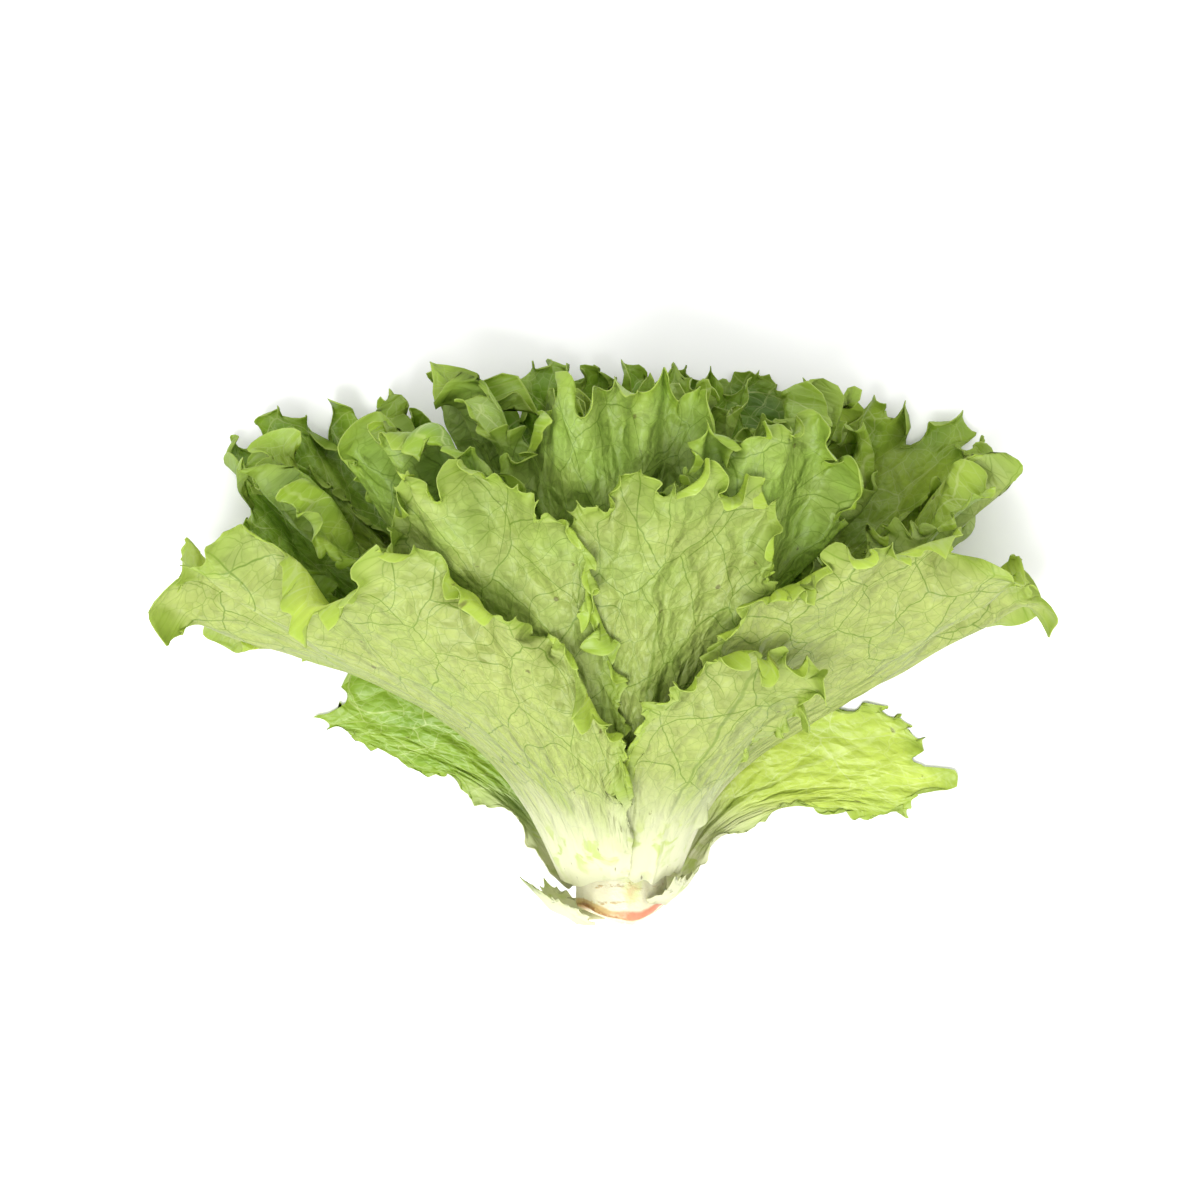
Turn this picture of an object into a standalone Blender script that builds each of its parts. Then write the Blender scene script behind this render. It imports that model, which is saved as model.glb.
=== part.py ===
"""Green leaf lettuce: one cut head that lies on its side, in metres, +Z up.

The leaves grow on a short stem like nested cups. The stem's cut end points along -Y and the leaves
spread towards +Y, pressed flat underneath where the head rests on z = 0 and arched over on top.
Each leaf follows one cup of that nest, named by its shell number: 0 is the heart and 1 the outer wrap.
Its ruffles stay inside the room that the leaves next to it leave, so that no two leaves cross.
"""

import math
from collections import namedtuple

import bmesh
import bpy
import numpy as np

MM = 0.001
COLLECTION_NAME = "green_leaf_lettuce"

# Driving sizes of the head.
STEM_RADIUS = 15.5 * MM
STEM_CUT_Y = -17.0 * MM
STEM_DOME = 32.0 * MM
STEM_AXIS_HEIGHT = 33.0 * MM
STEM_SEGMENTS = 24
BASE_GAP = 1.6 * MM
HEAD_SHIFT = (6.6 * MM, -81.6 * MM)

# Driving sizes of a leaf.
LAMINA = 0.8 * MM
RIB_EXTRA = 1.5 * MM
RIB_HALF_WIDTH = 0.16
CLEARANCE = 0.9 * MM
LEVEL_STEP = 2.7 * MM
LEVEL_DROP = (112.0 * MM, 135.0 * MM)
WAVE_LENGTH = 34.0 * MM
FRILL_LENGTH = 21.0 * MM
SIDE_FRILL = 3.5 * MM
RUFFLE_MOST = 9.0 * MM
PROFILE_STEPS = 96

# The nest of cups, from the heart at shell 0 to the outer wrap at shell 1.
SPREAD_ANGLE = (math.radians(6.0), math.radians(57.0))
TOP_ANGLE = (math.radians(4.0), math.radians(24.0))
UNDER_ANGLE = (math.radians(1.0), math.radians(7.5))
AXIS_TILT = math.radians(4.5)
TOP_DROOP = 0.28
SIDE_FLARE = (0.99, 1.10)
FLARE_SHARE = 0.33
OUTER_FLOP = math.radians(92.0)
FLOP_SHARE = 0.06
SIDE_SAG = 20.0 * MM
SAG_REACH = 40.0 * MM
OUTER_SAG = 70.0 * MM
OUTER_SAG_REACH = 30.0 * MM
HEAD_REACH = 185.0 * MM
RING_GROWTH = 11.0 * MM
RING_REACH = 18.0 * MM
HEART_BASE_Y = 20.0 * MM
BASE_STEP_Y = 27.0 * MM
NEST_STEP = 0.01

# name, shell, azimuth round the stem (0 is up, 90 is +X) and half width in degrees, length in mm,
# taper of the outline towards its sides and the power of that curve, turn of the midrib at the tip,
# wave and frill slopes in degrees, columns of faces, level above the table of its lowest parts, seed.
Leaf = namedtuple(
    "Leaf",
    "name shell azimuth half_width length taper power bend wave frill columns level seed",
)
LEAVES = [
    Leaf("leaf_under_right", 1.22, 134, 50, 104, 0.55, 2.0, 2, 28, 28, 32, 0, 12),
    Leaf("leaf_under_left", 1.15, -140, 32, 114, 0.35, 2.4, -2, 28, 28, 24, 0, 11),
    Leaf("leaf_wrap_left", 1.00, -64, 70, 175, 0.66, 1.9, -4, 30, 30, 40, 1, 13),
    Leaf("leaf_wrap_front", 0.95, 27, 30, 104, 0.45, 2.2, 5, 30, 28, 20, 1, 14),
    Leaf("leaf_back_middle", 0.96, 171, 32, 186, 0.30, 2.4, 2, 30, 30, 24, 1, 16),
    Leaf("leaf_wrap_right", 0.86, 68, 50, 159, 0.20, 2.4, 4, 30, 30, 34, 1, 15),
    Leaf("leaf_back_left", 0.82, -127, 36, 194, 0.30, 2.4, -3, 34, 30, 26, 2, 17),
    Leaf("leaf_second_left", 0.78, -25, 27, 158, 0.30, 2.4, -4, 34, 30, 20, 2, 19),
    Leaf("leaf_back_right", 0.75, 134, 36, 188, 0.30, 2.4, 3, 34, 30, 24, 2, 18),
    Leaf("leaf_second_middle", 0.69, 8, 31, 150, 0.30, 2.4, 4, 34, 30, 22, 2, 20),
    Leaf("leaf_side_left", 0.66, -95, 36, 178, 0.30, 2.4, 4, 36, 30, 24, 3, 21),
    Leaf("leaf_side_right", 0.62, 92, 32, 180, 0.30, 2.4, -4, 36, 30, 22, 3, 22),
    Leaf("leaf_third_under", 0.58, -174, 29, 176, 0.30, 2.4, 3, 30, 28, 24, 3, 23),
    Leaf("leaf_third_right", 0.53, 35, 33, 164, 0.30, 2.4, -4, 38, 32, 22, 3, 24),
    Leaf("leaf_third_left", 0.50, -55, 36, 168, 0.30, 2.4, 4, 38, 32, 22, 3, 25),
    Leaf("leaf_fourth_right", 0.45, 125, 38, 168, 0.30, 2.4, 4, 36, 30, 20, 3, 26),
    Leaf("leaf_fourth_left", 0.41, -106, 30, 170, 0.30, 2.4, -4, 36, 30, 24, 3, 27),
    Leaf("leaf_fourth_top", 0.37, -4, 45, 166, 0.30, 2.4, 3, 38, 32, 22, 3, 28),
    Leaf("leaf_fifth_under", 0.32, 168, 42, 168, 0.30, 2.4, -3, 34, 30, 18, 3, 29),
    Leaf("leaf_fifth_right", 0.26, 75, 46, 166, 0.30, 2.4, 4, 38, 32, 20, 3, 30),
    Leaf("leaf_fifth_left", 0.20, -75, 50, 166, 0.30, 2.4, -4, 38, 32, 20, 3, 31),
    Leaf("leaf_heart_top", 0.12, 25, 62, 156, 0.30, 2.4, 4, 36, 32, 18, 3, 32),
    Leaf("leaf_heart_under", 0.03, -150, 66, 150, 0.30, 2.4, -4, 36, 32, 18, 3, 33),
    Leaf("torn_base_left", 1.38, -94, 40, 9, 0.45, 2.0, 8, 10, 20, 10, 0, 34),
    Leaf("torn_base_right", 1.12, 80, 36, 8, 0.40, 2.0, -8, 10, 20, 10, 0, 35),
]
INNER_ROWS = (0.0, 0.16, 0.38, 0.58)
OUTER_ROWS = (0.73, 0.85, 0.93, 1.0)

LEAF_GREEN = (0.36, 0.52, 0.10, 1.0)
STEM_CREAM = (0.86, 0.84, 0.66, 1.0)


def lerp(ends, share):
    """The value at that share between two ends, and beyond them in a straight line."""
    return ends[0] + (ends[1] - ends[0]) * share


def smooth_step(low, high, value):
    share = np.clip((value - low) / (high - low), 0.0, 1.0)
    return share * share * (3.0 - 2.0 * share)


def stem_radius(y):
    """Radius of the stem at height y: a cylinder up to y = 0 and half an ellipse above it."""
    share = np.clip(y / STEM_DOME, 0.0, 1.0)
    return STEM_RADIUS * np.sqrt(1.0 - share * share)


def nest_point(shell, azimuth, reach):
    """The point of a cup at an azimuth round the stem and a distance from the stem, as (..., 3)."""
    base_y = HEART_BASE_Y - BASE_STEP_Y * shell
    ring = stem_radius(base_y) + BASE_GAP
    ring = ring + (1.0 * MM + RING_GROWTH * shell) * (1.0 - np.exp(-reach / RING_REACH))
    up, side = np.cos(azimuth), np.sin(azimuth)
    share = reach / HEAD_REACH
    upper = smooth_step(-0.5, 0.5, up)
    top_lift = lerp(TOP_ANGLE, shell) * (1.0 - TOP_DROOP * share**2)
    rise = AXIS_TILT + up * (lerp(UNDER_ANGLE, shell) * (1.0 - upper) + top_lift * upper)
    flare = lerp(SIDE_FLARE, 0.5 + 0.5 * side) * share**2 / (share**2 + FLARE_SHARE**2)
    flop = np.maximum(shell - 1.0, 0.0) * OUTER_FLOP * share / (share + FLOP_SHARE)
    spread = (lerp(SPREAD_ANGLE, shell) * flare + flop) * side
    x = ring * side + reach * np.cos(rise) * np.sin(spread)
    y = base_y + reach * np.cos(rise) * np.cos(spread)
    sag = SIDE_SAG * shell * side * side * (1.0 - np.exp(-reach / SAG_REACH))
    outer = OUTER_SAG * np.maximum(shell - 1.0, 0.0) * side * side
    sag = sag + outer * (1.0 - np.exp(-((reach / OUTER_SAG_REACH) ** 2)))
    z = STEM_AXIS_HEIGHT + ring * up + reach * np.sin(rise) - sag
    return np.stack([x, y, z], axis=-1)


def outward(shell, azimuth, reach):
    """The way out of the nest square to a cup, and the distance between cups for a step of 1 in shell."""
    across = nest_point(shell + NEST_STEP, azimuth, reach) - nest_point(shell - NEST_STEP, azimuth, reach)
    round_stem = nest_point(shell, azimuth + NEST_STEP, reach) - nest_point(shell, azimuth - NEST_STEP, reach)
    along = nest_point(shell, azimuth, reach + MM) - nest_point(shell, azimuth, np.maximum(reach - MM, 0.0))
    normal = np.cross(round_stem, along)
    normal /= np.linalg.norm(normal, axis=-1, keepdims=True) + 1e-12
    distance = np.sum(across * normal, axis=-1) / (2.0 * NEST_STEP)
    return normal * np.sign(distance)[..., None], np.abs(distance)


def midrib_azimuth(leaf, reach):
    """Azimuth of the leaf's midrib at a distance from the stem."""
    return math.radians(leaf.azimuth) + math.radians(leaf.bend) * (reach / (leaf.length * MM)) ** 2


def outline_length(leaf, across):
    """Length of the leaf from the stem to its edge at a share across it, from -1 to 1."""
    return leaf.length * MM * (1.0 - leaf.taper * np.abs(across) ** leaf.power)


def covers(leaf, azimuth, reach):
    """How far a leaf's footprint covers a point of the nest: 1 inside it, falling to 0 just outside."""
    turn = (azimuth - midrib_azimuth(leaf, reach) + math.pi) % (2.0 * math.pi) - math.pi
    across = np.abs(turn) / math.radians(leaf.half_width)
    edge = math.radians(9.0) / math.radians(leaf.half_width)
    sideways = 1.0 - smooth_step(1.0 + 0.5 * edge, 1.0 + 1.5 * edge, across)
    tip = outline_length(leaf, np.clip(across, 0.0, 1.0))
    return sideways * (1.0 - smooth_step(tip + 4.0 * MM, tip + 16.0 * MM, reach))


def room(leaf, azimuth, reach, spacing, outward):
    """How far the leaf may leave its cup before it would meet the next one that covers the point."""
    tightness = np.full_like(reach, 1.0 / (40.0 * MM))
    for other in LEAVES:
        step = other.shell - leaf.shell
        if step == 0.0 or (step > 0.0) != outward:
            continue
        half_gap = np.maximum(0.5 * abs(step) * spacing - 0.5 * LAMINA - CLEARANCE, 0.05 * MM)
        tightness = np.maximum(tightness, covers(other, azimuth, reach) / half_gap)
    return 1.0 / tightness


def leaf_surface(leaf, across, along):
    """Middle surface of a leaf: points for each share across it and along it, as (across, along, 3)."""
    draw = np.random.default_rng(leaf.seed)
    phases = draw.uniform(0.0, 2.0 * math.pi, 10)
    half_arc = math.radians(leaf.half_width) * 0.6 * leaf.length * MM
    arc = across * half_arc
    steps = np.linspace(0.0, 1.0, PROFILE_STEPS + 1)
    length = outline_length(leaf, across)
    lobes = 3.5 * MM * np.sin(2.0 * math.pi * arc / (0.55 * WAVE_LENGTH) + phases[5])
    length = (length + lobes)[:, None]

    wave = np.sin(2.0 * math.pi * arc / WAVE_LENGTH + phases[0] + 0.9 * np.sin(arc / (12.0 * MM) + phases[1]))
    wave *= 0.75 + 0.25 * np.sin(arc / (9.0 * MM) + phases[2])
    frill = np.sin(2.0 * math.pi * arc / FRILL_LENGTH + phases[3] + 0.8 * np.sin(arc / (7.0 * MM) + phases[4]))
    slope = math.radians(leaf.wave) * wave[:, None] * smooth_step(0.52, 1.0, steps)[None, :]
    slope = slope + math.radians(leaf.frill) * frill[:, None] * smooth_step(0.82, 1.0, steps)[None, :]
    roll = np.sin(7.0 * steps[None, :] + 3.0 * across[:, None] + phases[6])
    slope = slope + math.radians(7.0) * roll * smooth_step(0.05, 0.3, steps)[None, :]

    step_length = length / PROFILE_STEPS
    heights = np.cumsum(np.sin(slope) * step_length, axis=1)
    reaches = np.cumsum(np.cos(slope) * step_length, axis=1)
    heights = np.concatenate([np.zeros_like(length), heights[:, :-1]], axis=1)
    reaches = np.concatenate([np.zeros_like(length), reaches[:, :-1]], axis=1)
    height = np.stack([np.interp(along, steps, row) for row in heights])
    reach = np.stack([np.interp(along, steps, row) for row in reaches])

    side = smooth_step(0.72, 1.0, np.abs(across))[:, None] * smooth_step(0.12, 0.35, along)[None, :]
    ripple = 2.0 * math.pi * reach / (0.7 * WAVE_LENGTH) + phases[7] + 2.0 * across[:, None]
    height = height + SIDE_FRILL * side * np.sin(ripple)
    height = RUFFLE_MOST * np.tanh(height / RUFFLE_MOST)
    edge_shift = 0.05 * side * np.cos(ripple + phases[8])

    azimuth = midrib_azimuth(leaf, reach)
    azimuth = azimuth + math.radians(leaf.half_width) * (across[:, None] * (1.0 + edge_shift))
    normal, spacing = outward(leaf.shell, azimuth, reach)
    outer = room(leaf, azimuth, reach, spacing, True)
    inner = room(leaf, azimuth, reach, spacing, False)
    limit = np.where(height > 0.0, outer, inner)
    height = limit * np.tanh(height / limit)
    return nest_point(leaf.shell, azimuth, reach) + height[..., None] * normal


def leaf_thickness(across, along):
    """Thickness of a leaf: thin at the edges, with a fleshy midrib that fades towards the tip."""
    rib = 1.0 - smooth_step(0.0, RIB_HALF_WIDTH, np.abs(across))
    return LAMINA + RIB_EXTRA * rib[:, None] * (1.0 - smooth_step(0.15, 0.75, along))[None, :]


def table_floor(leaf, points, thickness):
    """Lowest height of the middle surface: the leaves press flat, one level on top of another.

    Past the tips of the two under leaves each level sinks by one, so that the next leaf rests on z = 0.
    """
    drop = smooth_step(*LEVEL_DROP, np.hypot(points[..., 0], points[..., 1]))
    return 0.5 * thickness + LEVEL_STEP * np.maximum(leaf.level - drop, 0.0)


def material(name, colour, roughness):
    made = bpy.data.materials.new(name)
    made.use_nodes = True
    shader = made.node_tree.nodes["Principled BSDF"]
    shader.inputs["Base Color"].default_value = colour
    shader.inputs["Roughness"].default_value = roughness
    return made


def link(name, mesh, collection, finish):
    made = bpy.data.objects.new(name, mesh)
    mesh.materials.append(finish)
    collection.objects.link(made)
    return made


def lettuce_leaf(leaf, collection, finish):
    """A grid bent onto its cup, with half the columns near the stem, in triangles, thickened to a leaf."""
    across = np.linspace(-1.0, 1.0, leaf.columns + 1)
    along = np.array(INNER_ROWS + OUTER_ROWS)
    points = leaf_surface(leaf, across, along)
    thickness = leaf_thickness(across, along)
    points[..., 2] = np.maximum(points[..., 2], table_floor(leaf, points, thickness))
    points[..., :2] += HEAD_SHIFT

    sheet = bmesh.new()
    bmesh.ops.create_grid(sheet, x_segments=leaf.columns, y_segments=len(along) - 1, size=1.0)
    sheet.verts.ensure_lookup_table()
    weights = sheet.verts.layers.deform.verify()
    column_of = {}
    for row in range(len(along)):
        for column in range(leaf.columns + 1):
            vert = sheet.verts[row * (leaf.columns + 1) + column]
            vert.co = points[column, row]
            vert[weights][0] = float(thickness[column, row] / (LAMINA + RIB_EXTRA))
            column_of[vert] = column if row < len(INNER_ROWS) else None
    spokes = [
        edge
        for edge in sheet.edges
        if column_of[edge.verts[0]] == column_of[edge.verts[1]]
        and column_of[edge.verts[0]] is not None
        and column_of[edge.verts[0]] % 2 == 1
    ]
    bmesh.ops.dissolve_edges(sheet, edges=spokes, use_verts=True)
    bmesh.ops.triangulate(sheet, faces=sheet.faces, quad_method="SHORT_EDGE")
    mesh = bpy.data.meshes.new(leaf.name)
    sheet.to_mesh(mesh)
    sheet.free()
    made = link(leaf.name, mesh, collection, finish)
    made.vertex_groups.new(name="thickness")
    shell = made.modifiers.new("Thickness", "SOLIDIFY")
    shell.thickness = LAMINA + RIB_EXTRA
    shell.offset = 0.0
    shell.vertex_group = "thickness"
    return made


def stem(collection, finish):
    """The short stem, turned about its own axis: a flat cut end, a straight side and a domed top."""
    turned = bmesh.new()
    side = [(STEM_RADIUS, 0.0)]
    for step in range(1, 6):
        angle = 0.5 * math.pi * step / 6.0
        side.append((STEM_RADIUS * math.cos(angle), STEM_DOME * math.sin(angle)))
    outline = [(0.0, STEM_CUT_Y), (STEM_RADIUS - 1.5 * MM, STEM_CUT_Y), (STEM_RADIUS, STEM_CUT_Y + 1.5 * MM)]
    outline += side + [(0.0, STEM_DOME)]
    verts = [turned.verts.new((radius, y, 0.0)) for radius, y in outline]
    edges = [turned.edges.new(pair) for pair in zip(verts, verts[1:])]
    bmesh.ops.spin(
        turned,
        geom=verts + edges,
        cent=(0.0, 0.0, 0.0),
        axis=(0.0, 1.0, 0.0),
        angle=2.0 * math.pi,
        steps=STEM_SEGMENTS,
        use_merge=True,
    )
    bmesh.ops.remove_doubles(turned, verts=turned.verts, dist=0.01 * MM)
    bmesh.ops.recalc_face_normals(turned, faces=turned.faces)
    bmesh.ops.translate(turned, verts=turned.verts, vec=(*HEAD_SHIFT, STEM_AXIS_HEIGHT))
    mesh = bpy.data.meshes.new("stem")
    turned.to_mesh(mesh)
    turned.free()
    return link("stem", mesh, collection, finish)


def main():
    for old in list(bpy.data.objects):
        bpy.data.objects.remove(old)
    collection = bpy.data.collections.new(COLLECTION_NAME)
    bpy.context.scene.collection.children.link(collection)
    leaf_finish = material("leaf", LEAF_GREEN, 0.45)
    stem_finish = material("stem", STEM_CREAM, 0.5)
    stem(collection, stem_finish)
    for leaf in LEAVES:
        lettuce_leaf(leaf, collection, leaf_finish)


main()
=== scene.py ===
"""Green leaf lettuce lying on its side on a white floor: the short cut stem, and a thin leaf for each
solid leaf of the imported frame, with its ruffled edge, its blisters and its net of veins."""

import math
from collections import namedtuple

import bmesh
import bpy
import numpy as np
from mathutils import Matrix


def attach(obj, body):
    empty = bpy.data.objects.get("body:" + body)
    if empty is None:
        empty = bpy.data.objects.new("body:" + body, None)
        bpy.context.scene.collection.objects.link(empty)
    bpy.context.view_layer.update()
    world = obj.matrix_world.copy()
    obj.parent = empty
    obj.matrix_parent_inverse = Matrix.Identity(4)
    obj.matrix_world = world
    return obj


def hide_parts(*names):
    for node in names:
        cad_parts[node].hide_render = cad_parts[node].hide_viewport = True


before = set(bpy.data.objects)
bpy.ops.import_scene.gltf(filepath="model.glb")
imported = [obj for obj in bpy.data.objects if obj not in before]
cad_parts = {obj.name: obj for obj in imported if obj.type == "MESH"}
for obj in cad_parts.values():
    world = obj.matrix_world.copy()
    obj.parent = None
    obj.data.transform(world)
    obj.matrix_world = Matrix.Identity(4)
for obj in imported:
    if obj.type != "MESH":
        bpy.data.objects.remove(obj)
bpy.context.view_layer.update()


# The stem: a short, moist, cream butt, sliced off at a slant when the head was cut. The slice has turned
# ochre and salmon round its rim, and leaves that came off have left brown scars. Its outline is spun
# round its axis, then made uneven.
MM = 0.001
HEAD_SHIFT = (6.6 * MM, -81.6 * MM)
STEM_RADIUS = 15.5 * MM
STEM_CUT_Y = -17.0 * MM
STEM_DOME = 32.0 * MM
STEM_AXIS_HEIGHT = 33.0 * MM
STEM_SEGMENTS = 120
STEM_LOBES = 0.03

# Rings of points over the slice in shares of the radius, at its rounded edge, up the side in mm from the
# slice, and over the dome. CUT_SLOPES are the slants of the slice left and right of its middle.
SLICE_RINGS = (0.0, 0.25, 0.5, 0.7, 0.85, 0.94)
ROUNDED_RING = (0.985, 0.4 * MM)
SIDE_RINGS = (1.1, 2.0, 3.2, 4.6, 6.2, 8.0, 10.0, 12.0, 14.5)
DOME_RINGS = 15
CUT_MIDDLE_X = 3.0 * MM
CUT_SLOPES = (0.42, 0.70)
CUT_TILT = 0.10
CUT_ROUNDING = 1.5 * MM
CUT_REACH = 15.0 * MM
CUT_WAVE = 0.5 * MM
CUT_RIM = 5.6 * MM
RIM_SIDES = 5.0 * MM

STEM_CREAM = (0.56, 0.54, 0.37, 1.0)
STEM_GREENISH = (0.52, 0.55, 0.27, 1.0)
STEM_SCAR = (0.34, 0.22, 0.07, 1.0)
CUT_SALMON = (0.50, 0.155, 0.075, 1.0)
CUT_OCHRE = (0.42, 0.29, 0.10, 1.0)
CUT_BROWN = (0.24, 0.09, 0.03, 1.0)
PITH_CREAM = (0.80, 0.72, 0.46, 1.0)
PITH_TAN = (0.70, 0.42, 0.22, 1.0)


def smooth_step(low, high, value):
    """0 at low and 1 at high, or the other way round where high is the lower, with soft ends."""
    share = np.clip((value - low) / (high - low), 0.0, 1.0)
    return share * share * (3.0 - 2.0 * share)


def empty_finish(name):
    """An empty new material, and short ways to add and join its nodes."""
    made = bpy.data.materials.new(name)
    made.use_nodes = True
    tree = made.node_tree
    tree.nodes.clear()

    def add(kind, inputs=(), **settings):
        node = tree.nodes.new(kind)
        for key, value in settings.items():
            setattr(node, key, value)
        for socket, value in dict(inputs).items():
            if isinstance(value, bpy.types.NodeSocket):
                tree.links.new(value, node.inputs[socket])
            else:
                node.inputs[socket].default_value = value
        return node

    def maths(operation, first, second=0.0, third=0.0, clamp=False):
        node = add("ShaderNodeMath", {0: first, 1: second, 2: third}, operation=operation, use_clamp=clamp)
        return node.outputs[0]

    def step(value, low, high):
        """0 below low and 1 above high, or the other way round where high is the lower."""
        flipped = high < low
        node = add(
            "ShaderNodeMapRange",
            {"Value": value, "From Min": min(low, high), "From Max": max(low, high)},
            interpolation_type="SMOOTHSTEP",
        )
        return maths("SUBTRACT", 1.0, node.outputs[0]) if flipped else node.outputs[0]

    def blend(share, first, second):
        """The first colour where share is 0, and the second where it is 1."""
        return add("ShaderNodeMix", {0: share, 6: first, 7: second}, data_type="RGBA").outputs[2]

    def field(name):
        """A value that the piece carries on its own points."""
        return add("ShaderNodeAttribute", attribute_name=name).outputs["Fac"]

    def noise(place, scale, detail, **others):
        inputs = {"Vector": place, "Scale": scale, "Detail": detail, **others}
        return add("ShaderNodeTexNoise", inputs).outputs["Fac"]

    def centred(pattern, width):
        """A pattern round 0.5 made one round 0, of that width."""
        return maths("MULTIPLY", maths("SUBTRACT", pattern, 0.5), width)

    return made, add, maths, step, blend, field, noise, centred


def stem_finish():
    made, add, maths, step, blend, field, noise, centred = empty_finish("stem flesh")
    place = add("ShaderNodeTexCoord").outputs["Object"]
    rim, left = field("rim"), field("left")
    patch = noise(place, 90.0, 4.0)
    fine = noise(place, 700.0, 3.0)
    stretched = add("ShaderNodeMapping", {"Vector": place, "Scale": (60.0, 330.0, 60.0)}).outputs[0]
    scars = noise(stretched, 1.0, 5.0, Roughness=0.6)
    colour = blend(step(patch, 0.50, 0.66), STEM_CREAM, STEM_GREENISH)
    scar = maths("MULTIPLY", step(scars, 0.56, 0.64), step(fine, 0.40, 0.62))
    colour = blend(maths("MULTIPLY", scar, 0.75), colour, STEM_SCAR)
    ragged = maths("ADD", rim, centred(patch, 1.1))
    cut_colour = blend(left, CUT_SALMON, CUT_OCHRE)
    colour = blend(maths("MULTIPLY", step(ragged, 0.12, 0.42), 0.9), colour, cut_colour)
    flecks = maths("ADD", fine, maths("MULTIPLY", left, 0.15))
    browned = maths("MULTIPLY", step(ragged, 0.55, 0.95), step(flecks, 0.45, 0.62))
    colour = blend(maths("MULTIPLY", browned, 0.85), colour, CUT_BROWN)
    pith = blend(step(noise(place, 160.0, 3.0), 0.40, 0.62), PITH_CREAM, PITH_TAN)
    colour = blend(maths("MULTIPLY", field("slice"), 0.8), colour, pith)
    relief = maths("ADD", scar, fine)
    bump = add("ShaderNodeBump", {"Height": relief, "Strength": 0.35, "Distance": 0.6 * MM})
    flesh = add(
        "ShaderNodeBsdfPrincipled",
        {"Base Color": colour, "Roughness": 0.38, "Normal": bump.outputs[0], "Specular IOR Level": 0.45},
    )
    flesh.inputs["Subsurface Weight"].default_value = 0.25
    flesh.inputs["Subsurface Radius"].default_value = (1.0, 0.8, 0.4)
    flesh.inputs["Subsurface Scale"].default_value = 4.0 * MM
    add("ShaderNodeOutputMaterial", {"Surface": flesh.outputs[0]})
    return made


def stem_mesh():
    """The stem's outline spun round its axis, with its points pushed into a slanting cut and low lobes."""
    turned = bmesh.new()
    outline = [(STEM_RADIUS * share, STEM_CUT_Y) for share in SLICE_RINGS]
    outline.append((STEM_RADIUS * ROUNDED_RING[0], STEM_CUT_Y + ROUNDED_RING[1]))
    outline += [(STEM_RADIUS, STEM_CUT_Y + height * MM) for height in SIDE_RINGS]
    for turn in range(DOME_RINGS):
        angle = 0.5 * math.pi * turn / DOME_RINGS
        outline.append((STEM_RADIUS * math.cos(angle), STEM_DOME * math.sin(angle)))
    outline.append((0.0, STEM_DOME))
    verts = [turned.verts.new((radius, y, 0.0)) for radius, y in outline]
    edges = [turned.edges.new(pair) for pair in zip(verts, verts[1:])]
    bmesh.ops.spin(
        turned,
        geom=verts + edges,
        cent=(0.0, 0.0, 0.0),
        axis=(0.0, 1.0, 0.0),
        angle=2.0 * math.pi,
        steps=STEM_SEGMENTS,
        use_merge=True,
    )
    bmesh.ops.remove_doubles(turned, verts=turned.verts, dist=0.01 * MM)
    bmesh.ops.recalc_face_normals(turned, faces=turned.faces)
    mesh = bpy.data.meshes.new("cut_stem")
    turned.to_mesh(mesh)
    turned.free()
    places = np.empty(len(mesh.vertices) * 3, np.float32)
    mesh.vertices.foreach_get("co", places)
    places = places.reshape(-1, 3).astype(np.float64)
    x, y, z = places.T.copy()
    radius = np.hypot(x, z)
    angle = np.arctan2(x, z)
    near_cut = 1.0 - smooth_step(STEM_CUT_Y, STEM_CUT_Y + CUT_REACH, y)
    beside = x - CUT_MIDDLE_X
    slope = np.where(beside > 0.0, CUT_SLOPES[1], CUT_SLOPES[0])
    slant = np.hypot(slope * beside, CUT_ROUNDING) - CUT_ROUNDING + CUT_TILT * (z + STEM_RADIUS)
    slant = slant + CUT_WAVE * np.sin(5.0 * angle + 1.0)
    lobes = 0.45 * np.sin(3.0 * angle + 0.6) + 0.35 * np.sin(7.0 * angle + 90.0 * y)
    lobes = lobes + 0.25 * np.sin(17.0 * angle)
    swell = 1.0 + STEM_LOBES * lobes * smooth_step(0.3 * STEM_RADIUS, STEM_RADIUS, radius)
    places[:, 0] = x * swell + HEAD_SHIFT[0]
    places[:, 1] = y + near_cut * slant + HEAD_SHIFT[1]
    places[:, 2] = z * swell + STEM_AXIS_HEIGHT
    mesh.vertices.foreach_set("co", places.ravel())
    from_side = np.maximum(SLICE_RINGS[-1] * STEM_RADIUS - radius, 0.0)
    cut_distance = np.maximum(y - STEM_CUT_Y, 0.0) + from_side
    rim = 1.0 - np.clip(cut_distance / CUT_RIM, 0.0, 1.0)
    left = 1.0 - smooth_step(-RIM_SIDES, RIM_SIDES, x)
    on_slice = np.where((radius < 0.95 * STEM_RADIUS) & (y < STEM_CUT_Y + 0.1 * MM), 1.0, 0.0)
    for name, values in (("rim", rim), ("left", left), ("slice", on_slice)):
        mesh.attributes.new(name, "FLOAT", "POINT").data.foreach_set("value", values.astype(np.float32))
    mesh.polygons.foreach_set("use_smooth", np.ones(len(mesh.polygons), bool))
    return mesh


cut_stem = bpy.data.objects.new("cut_stem", stem_mesh())
cut_stem.data.materials.append(stem_finish())
bpy.context.scene.collection.objects.link(cut_stem)
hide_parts("stem")
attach(cut_stem, "root")


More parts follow.
